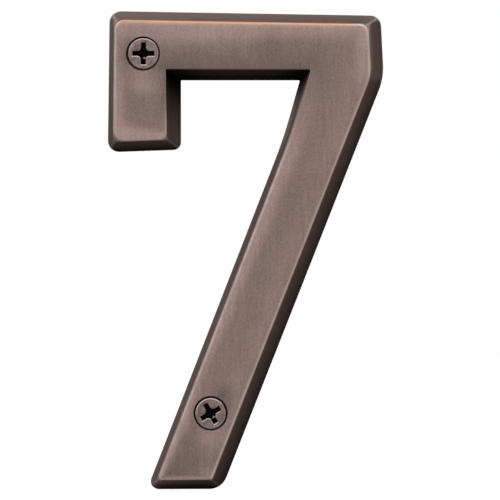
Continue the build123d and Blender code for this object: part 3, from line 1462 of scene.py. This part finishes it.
class NodeBench:
    """Adds nodes to one tree and joins their sockets."""

    def __init__(self, tree: bpy.types.NodeTree) -> None:
        """Starts on an empty tree."""
        self.tree = tree
        self.tree.nodes.clear()

    def add(self, kind: str, feeds: Feeds | None = None, **settings: object) -> Node:
        """Adds a node.

        Args:
            kind: Blender's name for the node.
            feeds: what each input takes, by its name or number: a socket to join, or a constant.
            settings: the node's own properties.

        Returns:
            The node.
        """
        node = self.tree.nodes.new(kind)
        for name, value in settings.items():
            setattr(node, name, value)
        for key, value in (feeds or {}).items():
            self.feed(node.inputs[key], value)
        return node

    def feed(self, socket: Socket, value: Feed) -> None:
        """Joins a socket to another one, or sets its constant.

        Args:
            socket: the input to feed.
            value: an output to join it to, or its constant.
        """
        if isinstance(value, Socket):
            self.tree.links.new(value, socket)
        elif socket.type == "RGBA":
            socket.default_value = (*value, 1.0)
        else:
            socket.default_value = value

    def math(self, kind: str, first: Feed, second: Feed = 0.0) -> Socket:
        """A Math node's result, such as ADD, MULTIPLY or MAXIMUM."""
        return self.add("ShaderNodeMath", {0: first, 1: second}, operation=kind).outputs[0]

    def ramp(
        self, value: Feed, low: float, high: float, start: float = 0.0, stop: float = 1.0
    ) -> Socket:
        """Eases a value from start to stop as it goes from low to high."""
        feeds = {"Value": value, 1: low, 2: high, 3: start, 4: stop}
        return self.add("ShaderNodeMapRange", feeds, interpolation_type="SMOOTHSTEP").outputs[0]

    def vary(self, share: Feed, ends: Ends) -> Socket:
        """Eases from the first end to the second as a share goes from 0 to 1."""
        return self.ramp(share, 0.0, 1.0, *ends)

    def blend(self, share: Feed, first: Feed, second: Feed) -> Socket:
        """Blends two colours by a share."""
        feeds = {0: share, 6: first, 7: second}
        return self.add("ShaderNodeMix", feeds, data_type="RGBA").outputs[2]

    def scale(self, colour: Feed, factor: Feed) -> Socket:
        """Multiplies a colour or a place by a number."""
        feeds = {0: colour, "Scale": factor}
        return self.add("ShaderNodeVectorMath", feeds, operation="SCALE").outputs[0]

    def level(self, share: Feed, first: Feed, second: Feed) -> Socket:
        """Blends two numbers by a share."""
        return self.add("ShaderNodeMix", {0: share, 2: first, 3: second}).outputs[0]

    def attribute(self, name: str) -> Socket:
        """A number that the mesh carries at its points."""
        return self.add("ShaderNodeAttribute", attribute_name=name).outputs["Fac"]

    def millimetres(self) -> Socket:
        """Object coordinates in millimetres."""
        return self.scale(self.add("ShaderNodeTexCoord").outputs["Object"], 1.0 / MM)

    def noise(self, place: Feed, scale: Feed, detail: float = 2.0, rough: float = 0.5) -> Socket:
        """Noise between 0 and 1."""
        feeds = {"Vector": place, "Scale": scale, "Detail": detail, "Roughness": rough}
        return self.add("ShaderNodeTexNoise", feeds).outputs["Fac"]

    def group(self, tree: bpy.types.NodeTree, feeds: Feeds) -> Node:
        """Places a node group."""
        return self.add("ShaderNodeGroup", feeds, node_tree=tree)

    def dress(self, sockets: Feeds, height: Feed, strength: float, distance: float) -> None:
        """Ends a metal's material: a bump, the Principled shader and the output.

        Args:
            sockets: what the shader's own sockets take.
            height: what the bump rises by, as a share of the distance.
            strength: the bump's strength.
            distance: how far a height of 1 stands out, in mm.
        """
        feeds = {"Strength": strength, "Distance": distance * MM, "Height": height}
        bump = self.add("ShaderNodeBump", feeds)
        shader = self.add("ShaderNodeBsdfPrincipled", sockets | {"Normal": bump.outputs[0]})
        self.add("ShaderNodeOutputMaterial", {"Surface": shader.outputs[0]})


class SharedEffects:
    """Node groups for the finishes."""

    def __init__(self) -> None:
        """Builds each group once."""
        self.brush_lines = self.make_brush_lines()
        self.cast_grain = self.make_cast_grain()
        self.tone_drift = self.make_tone_drift()

    @staticmethod
    def start(
        name: str, inputs: dict[str, float | None], outputs: list[str]
    ) -> tuple[NodeBench, Node, Node]:
        """Opens a group with its sockets.

        Args:
            name: the group's name.
            inputs: input names with their defaults, or None for a vector.
            outputs: names of the numbers that it puts out.

        Returns:
            The bench, the group's input node and its output node.
        """
        tree = bpy.data.node_groups.new(name, "ShaderNodeTree")
        bench = NodeBench(tree)
        for key, value in inputs.items():
            kind = "NodeSocketVector" if value is None else "NodeSocketFloat"
            socket = tree.interface.new_socket(key, in_out="INPUT", socket_type=kind)
            if value is not None:
                socket.default_value = value
        for key in outputs:
            tree.interface.new_socket(key, in_out="OUTPUT", socket_type="NodeSocketFloat")
        return bench, bench.add("NodeGroupInput"), bench.add("NodeGroupOutput")

    def make_brush_lines(self) -> bpy.types.NodeTree:
        """Fine lines along Z: noise squeezed across the lines and drawn out along them.

        Returns:
            The group's tree.
        """
        bench, source, result = self.start(
            "Brush Lines",
            {"Place": None, "Line Width": 0.3, "Line Length": 12.0},
            ["Fine", "Broad"],
        )
        across = bench.math("DIVIDE", 1.0, source.outputs["Line Width"])
        down = bench.math("DIVIDE", 1.0, source.outputs["Line Length"])
        scales = bench.add("ShaderNodeCombineXYZ", {"X": across, "Y": across, "Z": down}).outputs[0]
        drawn = bench.add(
            "ShaderNodeVectorMath", {0: source.outputs["Place"], 1: scales}, operation="MULTIPLY"
        ).outputs[0]
        fine = bench.noise(drawn, 1.0, rough=0.6)
        broad = bench.noise(drawn, 0.27)
        bench.feed(result.inputs["Fine"], bench.ramp(fine, 0.28, 0.72))
        bench.feed(result.inputs["Broad"], bench.ramp(broad, 0.3, 0.7))
        return bench.tree

    def make_cast_grain(self) -> bpy.types.NodeTree:
        """Grain of cast or plated metal: fine noise for its tone and sparse dark pits.

        Returns:
            The group's tree.
        """
        bench, source, result = self.start(
            "Cast Grain", {"Place": None, "Grain Size": 0.4}, ["Grain", "Pits"]
        )
        scale = bench.math("DIVIDE", 1.0, source.outputs["Grain Size"])
        grain = bench.noise(source.outputs["Place"], scale, detail=3.0, rough=0.65)
        cells = bench.add(
            "ShaderNodeTexVoronoi", {"Vector": source.outputs["Place"], "Scale": scale}
        ).outputs["Distance"]
        bench.feed(result.inputs["Grain"], bench.ramp(grain, 0.3, 0.7))
        bench.feed(result.inputs["Pits"], bench.ramp(cells, 0.06, 0.3, 1.0, 0.0))
        return bench.tree

    def make_tone_drift(self) -> bpy.types.NodeTree:
        """Slow patches of tone, about the patch size across, and smaller clouds inside them.

        Returns:
            The group's tree.
        """
        bench, source, result = self.start(
            "Tone Drift", {"Place": None, "Patch Size": 12.0}, ["Patch", "Cloud"]
        )
        scale = bench.math("DIVIDE", 1.0, source.outputs["Patch Size"])
        patch = bench.noise(source.outputs["Place"], scale, detail=1.0)
        finer = bench.math("MULTIPLY", scale, 3.3)
        cloud = bench.noise(source.outputs["Place"], finer, detail=3.0, rough=0.55)
        bench.feed(result.inputs["Patch"], bench.ramp(patch, 0.33, 0.67))
        bench.feed(result.inputs["Cloud"], bench.ramp(cloud, 0.32, 0.68))
        return bench.tree


def new_material(name: str) -> tuple[bpy.types.Material, NodeBench]:
    """A material with an empty tree, and the bench to fill it.

    Args:
        name: the material's name.

    Returns:
        The material and its bench.
    """
    material = bpy.data.materials.new(name)
    material.use_nodes = True
    return material, NodeBench(material.node_tree)


@dataclass(frozen=True)
class RubbedBronze:
    """Front of the casting: dark patina, brushed through on the face and worn bright on the edges,
    with painted light and shade on the flanks and a painted highlight along the copper line.

    Colours are linear and sizes are in mm. A pair is the two ends of a ramp.
    """

    face_middle: Colour = (0.187, 0.128, 0.115)
    face_edge: Colour = (0.289, 0.203, 0.185)
    face_grey: Colour = (0.118, 0.092, 0.079)
    flank_brown: Colour = (0.150, 0.096, 0.086)
    flank_grey: Colour = (0.157, 0.122, 0.113)
    mitre_wear_highlight: Colour = (0.420, 0.365, 0.325)
    edge_pink: Colour = (0.450, 0.373, 0.340)
    # worn copper on the face, made brighter as a painted highlight
    copper_flat_highlight: Colour = (0.430, 0.250, 0.155)
    copper_roll: Colour = (0.300, 0.175, 0.112)
    copper_deep: Colour = (0.190, 0.090, 0.055)
    face_rough: float = 0.38
    flank_rough: float = 0.5

    line_width: float = 0.26
    line_length: float = 5.0
    grain_size: float = 0.45
    patch_size: float = 14.0
    patch_grey: Ends = (-0.05, 0.15)
    cloud_rub: Ends = (-0.06, 0.06)
    fine_tone: Ends = (0.95, 1.05)
    broad_tone: Ends = (0.985, 1.015)
    grain_tone: Ends = (0.90, 1.10)
    ash_levels: Ends = (-5.5, -0.5)
    ash_rise: Ends = (-0.15, 0.15)
    cloud_ash: Ends = (-0.2, 0.2)
    cloud_wear: Ends = (0.68, 1.0)
    line_rough: Ends = (-0.05, 0.05)
    grain_brown: float = 0.25
    mitre_share: float = 0.8
    edge_turn: float = 0.12
    copper_turn: Ends = (0.45, 0.95)
    bare_turn: Ends = (0.55, 1.0)
    metal_turn: Ends = (0.05, 0.25)
    bare_wear: float = 0.3
    grain_bump: float = 0.4
    bump_strength: float = 0.12
    bump_distance: float = 0.02

    def face(self, bench: NodeBench, lines: Node, grain: Node, drift: Node) -> Socket:
        """Colour of the face: brushed, paler where it is rubbed and greyer where that has missed.

        Args:
            bench: the material's bench.
            lines: the brush lines.
            grain: the cast grain.
            drift: the slow patches.

        Returns:
            The colour.
        """
        patch = bench.vary(drift.outputs["Patch"], self.patch_grey)
        greyed = bench.math("ADD", bench.attribute("dull"), patch)
        cloud = bench.vary(drift.outputs["Cloud"], self.cloud_rub)
        rubbed = bench.math("ADD", bench.attribute("relief"), cloud)
        middle = bench.blend(greyed, self.face_middle, self.face_grey)
        face = bench.blend(rubbed, middle, self.face_edge)
        fine = bench.vary(lines.outputs["Fine"], self.fine_tone)
        broad = bench.vary(lines.outputs["Broad"], self.broad_tone)
        speck = bench.vary(grain.outputs["Grain"], self.grain_tone)
        brushed = bench.math("MULTIPLY", bench.math("MULTIPLY", fine, broad), speck)
        return bench.scale(face, brushed)

    def flank(self, bench: NodeBench, place: Socket, grain: Node, drift: Node) -> Socket:
        """Colour of the flanks: brown to grey by their ash, times their tone with its painted light
        and shade, and a pale line up each mitre of polished wear with a painted highlight.

        Args:
            bench: the material's bench.
            place: the place in mm.
            grain: the cast grain.
            drift: the slow patches.

        Returns:
            The colour.
        """
        deep = bench.add("ShaderNodeSeparateXYZ", {0: place}).outputs["Y"]
        near_wall = bench.ramp(deep, *self.ash_levels, *self.ash_rise)
        uneven = bench.vary(drift.outputs["Cloud"], self.cloud_ash)
        ashen = bench.math("ADD", bench.attribute("ash"), bench.math("ADD", near_wall, uneven))
        side = bench.blend(ashen, self.flank_brown, self.flank_grey)
        specked = bench.math("MULTIPLY", grain.outputs["Grain"], self.grain_brown)
        side = bench.blend(specked, side, self.flank_brown)
        # the tone carries the painted light and shade of each side
        side = bench.scale(side, bench.attribute("tone"))
        # pale line up each mitre: polished wear with a painted highlight
        pale = bench.math("MULTIPLY", bench.attribute("mitre"), self.mitre_share)
        return bench.blend(pale, side, self.mitre_wear_highlight)

    def copper(self, bench: NodeBench, flank: Socket) -> Socket:
        """Colour of the copper line: bright on the face, where it carries a painted highlight,
        deeper over the roll and on the flank.

        Args:
            bench: the material's bench.
            flank: 1 on the flank, falling to 0 on the face.

        Returns:
            The colour.
        """
        rolled = bench.ramp(flank, 0.0, self.edge_turn)
        copper = bench.blend(rolled, self.copper_flat_highlight, self.copper_roll)
        return bench.blend(bench.ramp(flank, *self.copper_turn), copper, self.copper_deep)

    def material(self, effects: SharedEffects) -> bpy.types.Material:
        """Builds the material.

        It reads the casting's values: flank, wrap, relief, dull, tone, ash, mitre, arris and
        copper.

        Args:
            effects: the shared node groups.

        Returns:
            The material.
        """
        made, bench = new_material("rubbed_bronze_front")
        place = bench.millimetres()
        brushed = {"Place": place, "Line Width": self.line_width, "Line Length": self.line_length}
        lines = bench.group(effects.brush_lines, brushed)
        grain = bench.group(effects.cast_grain, {"Place": place, "Grain Size": self.grain_size})
        drift = bench.group(effects.tone_drift, {"Place": place, "Patch Size": self.patch_size})
        flank, arris = bench.attribute("flank"), bench.attribute("arris")
        face = self.face(bench, lines, grain, drift)
        side = self.flank(bench, place, grain, drift)
        turned = bench.math("SUBTRACT", flank, bench.attribute("wrap"))
        base = bench.blend(bench.ramp(turned, 0.0, self.edge_turn), face, side)
        broken = bench.vary(drift.outputs["Cloud"], self.cloud_wear)
        base = bench.blend(bench.math("MULTIPLY", arris, broken), base, self.edge_pink)
        # the copper line: worn copper with a painted highlight
        copper_highlight = bench.math("MULTIPLY", bench.attribute("copper"), broken)
        base = bench.blend(copper_highlight, base, self.copper(bench, flank))

        rough = bench.level(flank, self.face_rough, self.flank_rough)
        rough = bench.math("ADD", rough, bench.vary(lines.outputs["Fine"], self.line_rough))
        rolled = bench.ramp(flank, *self.bare_turn, 1.0, 0.0)
        bared = bench.math("MULTIPLY", rolled, bench.ramp(arris, 0.0, self.bare_wear))
        metal = bench.math("MAXIMUM", bench.ramp(turned, *self.metal_turn, 1.0, 0.0), bared)
        rise = bench.math("MULTIPLY", grain.outputs["Grain"], self.grain_bump)
        height = bench.math("ADD", lines.outputs["Fine"], rise)
        sockets = {"Base Color": base, "Metallic": metal, "Roughness": rough}
        sockets["Specular IOR Level"] = 0.0
        bench.dress(sockets, height, self.bump_strength, self.bump_distance)
        return made


@dataclass(frozen=True)
class DullCasting:
    """Back of the casting: the same patina, left as it came from the mould."""

    dark: Colour = (0.070, 0.054, 0.048)
    pale: Colour = (0.135, 0.110, 0.098)
    rough: Ends = (0.47, 0.65)
    metallic: float = 0.5
    specular: float = 0.3
    grain_size: float = 0.7
    patch_size: float = 9.0
    grain_share: float = 0.45
    pit_dark: float = 0.6
    bump_strength: float = 0.35
    bump_distance: float = 0.06

    def material(self, effects: SharedEffects) -> bpy.types.Material:
        """Builds the material: grain and pits over slow patches.

        Args:
            effects: the shared node groups.

        Returns:
            The material.
        """
        made, bench = new_material("dull_cast_back")
        place = bench.millimetres()
        grain = bench.group(effects.cast_grain, {"Place": place, "Grain Size": self.grain_size})
        drift = bench.group(effects.tone_drift, {"Place": place, "Patch Size": self.patch_size})
        share = bench.level(self.grain_share, drift.outputs["Cloud"], grain.outputs["Grain"])
        base = bench.blend(share, self.dark, self.pale)
        pitted = bench.math("MULTIPLY", grain.outputs["Pits"], self.pit_dark)
        base = bench.blend(pitted, base, self.dark)
        rough = bench.vary(grain.outputs["Grain"], self.rough)
        height = bench.math("SUBTRACT", grain.outputs["Grain"], grain.outputs["Pits"])
        sockets = {"Base Color": base, "Metallic": self.metallic, "Roughness": rough}
        sockets["Specular IOR Level"] = self.specular
        bench.dress(sockets, height, self.bump_strength, self.bump_distance)
        return made


@dataclass(frozen=True)
class PlatedScrew:
    """Bronze plating on the screws, speckled on the head, with painted highlights on the rim and
    the lips and painted shade black inside the recess.
    """

    pale: Colour = (0.222, 0.166, 0.150)
    dark: Colour = (0.080, 0.058, 0.052)
    # painted shade: the black inside the recess
    black: Colour = (0.004, 0.003, 0.003)
    # colour of the painted highlights on the rim and the lips
    rim: Colour = (0.480, 0.390, 0.370)
    rough: Ends = (0.34, 0.46)
    metallic: float = 1.0
    grain_size: float = 0.32
    patch_size: float = 4.0
    grain_share: float = 0.6
    rim_highlight_share: float = 0.5
    bump_strength: float = 0.2
    bump_distance: float = 0.03

    def material(self, effects: SharedEffects) -> bpy.types.Material:
        """Builds the material from the screw's values: tone, arris and hollow.

        Args:
            effects: the shared node groups.

        Returns:
            The material.
        """
        made, bench = new_material("bronze_plated_screw")
        place = bench.millimetres()
        grain = bench.group(effects.cast_grain, {"Place": place, "Grain Size": self.grain_size})
        drift = bench.group(effects.tone_drift, {"Place": place, "Patch Size": self.patch_size})
        share = bench.level(self.grain_share, drift.outputs["Cloud"], grain.outputs["Grain"])
        base = bench.scale(bench.blend(share, self.dark, self.pale), bench.attribute("tone"))
        # painted highlights on the rim and the lips
        bared = bench.math("MULTIPLY", bench.attribute("arris"), self.rim_highlight_share)
        base = bench.blend(bared, base, self.rim)
        # painted shade blackens the recess
        base = bench.blend(bench.attribute("hollow"), base, self.black)
        rough = bench.vary(grain.outputs["Grain"], self.rough)
        sockets = {"Base Color": base, "Metallic": self.metallic, "Roughness": rough}
        bench.dress(sockets, grain.outputs["Grain"], self.bump_strength, self.bump_distance)
        return made


@dataclass(frozen=True)
class Studio:
    """White floor and world, one soft key light, a weak light from behind, and the camera."""

    floor_half: float = 3.0
    floor_tone: float = 0.15
    floor_glow: float = 0.92
    world_light: float = 0.16
    key_from: Triple = (-0.25, -0.5, 0.83)
    key_strength: float = 2.8
    key_angle: float = 90.0
    back_from: Triple = (-0.4, 0.75, 0.53)
    back_strength: float = 0.8
    camera_at: Triple = (207.645, -1506.35, -11.056)
    camera_yaw: float = -0.1273
    camera_pitch: float = 0.0051
    camera_roll: float = 0.0128
    lens: float = 515.37
    clip: Ends = (0.1, 30.0)

    @staticmethod
    def seen(bench: NodeBench) -> Socket:
        """1 for rays from the camera, off gloss or through glass, and 0 for diffuse ones.

        Args:
            bench: the bench of the tree that asks.

        Returns:
            The share.
        """
        path = bench.add("ShaderNodeLightPath")
        first = bench.math("MAXIMUM", path.outputs["Is Camera Ray"], path.outputs["Is Glossy Ray"])
        return bench.math("MAXIMUM", first, path.outputs["Is Transmission Ray"])

    def build_world(self) -> None:
        """A white world that lights matt surfaces only softly."""
        world = bpy.data.worlds.new("studio_white")
        bpy.context.scene.world = world
        world.use_nodes = True
        bench = NodeBench(world.node_tree)
        strength = bench.level(self.seen(bench), self.world_light, 1.0)
        light = bench.add("ShaderNodeBackground", {"Color": (1.0, 1.0, 1.0), "Strength": strength})
        bench.add("ShaderNodeOutputWorld", {"Surface": light.outputs[0]})

    def build_floor(self, level: float) -> None:
        """A white floor under the foot, which takes the shadow.

        Args:
            level: its height in metres.
        """
        half = self.floor_half
        mesh = bpy.data.meshes.new("studio_floor")
        corners = np.array([(-half, -half), (half, -half), (half, half), (-half, half)])
        mesh.from_pydata(np.insert(corners, 2, level, axis=1).tolist(), [], [(0, 1, 2, 3)])
        floor = bpy.data.objects.new("studio_floor", mesh)
        bpy.context.scene.collection.objects.link(floor)
        material, bench = new_material("white_floor")
        matt = bench.add("ShaderNodeBsdfDiffuse", {"Color": (self.floor_tone,) * 3})
        glow = bench.add(
            "ShaderNodeEmission",
            {"Strength": bench.math("MULTIPLY", self.seen(bench), self.floor_glow)},
        )
        both = bench.add("ShaderNodeAddShader", {0: matt.outputs[0], 1: glow.outputs[0]})
        bench.add("ShaderNodeOutputMaterial", {"Surface": both.outputs[0]})
        mesh.materials.append(material)
        floor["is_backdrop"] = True

    def build_lamp(
        self, name: str, toward: Triple, strength: float, angle: float
    ) -> None:
        """A wide, distant lamp with soft shadows.

        Args:
            name: the lamp's name.
            toward: direction from the object to the lamp.
            strength: its strength.
            angle: how wide it looks, in degrees.
        """
        lamp = bpy.data.lights.new(name, "SUN")
        lamp.energy = strength
        lamp.angle = np.radians(angle)
        holder = bpy.data.objects.new(name, lamp)
        holder.rotation_mode = "QUATERNION"
        holder.rotation_quaternion = (-Vector(toward)).to_track_quat("-Z", "Y")
        bpy.context.scene.collection.objects.link(holder)

    def build_camera(self) -> None:
        """A long lens, a little to the right of the face and turned slightly about its axis."""
        forward = Vector(
            (
                np.sin(self.camera_yaw) * np.cos(self.camera_pitch),
                np.cos(self.camera_yaw) * np.cos(self.camera_pitch),
                np.sin(self.camera_pitch),
            )
        )
        level = Vector((np.cos(self.camera_yaw), -np.sin(self.camera_yaw), 0.0))
        upright = level.cross(forward)
        right = (level + upright * self.camera_roll).normalized()
        up = right.cross(forward).normalized()
        turn = Matrix((right, up, -forward)).transposed()
        data = bpy.data.cameras.new("studio_camera")
        data.lens = self.lens
        data.clip_start, data.clip_end = self.clip
        camera = bpy.data.objects.new("studio_camera", data)
        camera.matrix_world = Matrix.Translation(Vector(self.camera_at) * MM) @ turn.to_4x4()
        bpy.context.scene.collection.objects.link(camera)
        bpy.context.scene.camera = camera

    def build(self, floor_level: float) -> None:
        """Sets up the world, floor, lamps, camera and plain colour handling.

        Args:
            floor_level: the floor's height in metres.
        """
        bpy.context.scene.view_settings.view_transform = "Standard"
        self.build_world()
        self.build_floor(floor_level)
        self.build_lamp("key_light", self.key_from, self.key_strength, self.key_angle)
        self.build_lamp("back_light", self.back_from, self.back_strength, self.key_angle)
        self.build_camera()


def main() -> None:
    """Builds and dresses every piece and sets up the studio, its floor at the foot of the imported
    parts' box.
    """
    logging.basicConfig(level=logging.INFO, format="%(name)s: %(message)s")
    cad_low, cad_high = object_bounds()
    effects = SharedEffects()
    casting = NumeralCasting()
    casting.build(RubbedBronze().material(effects), DullCasting().material(effects))
    metal = PlatedScrew().material(effects)
    upper, lower = casting.hole_centres()
    WoodScrew("upper_screw", tuple(upper), turn=0.0, tone=1.08).build(metal)
    WoodScrew("lower_screw", tuple(lower), turn=30.0, tone=0.98).build(metal)
    Studio().build(cad_low.z)


if __name__ == "__main__":
    main()
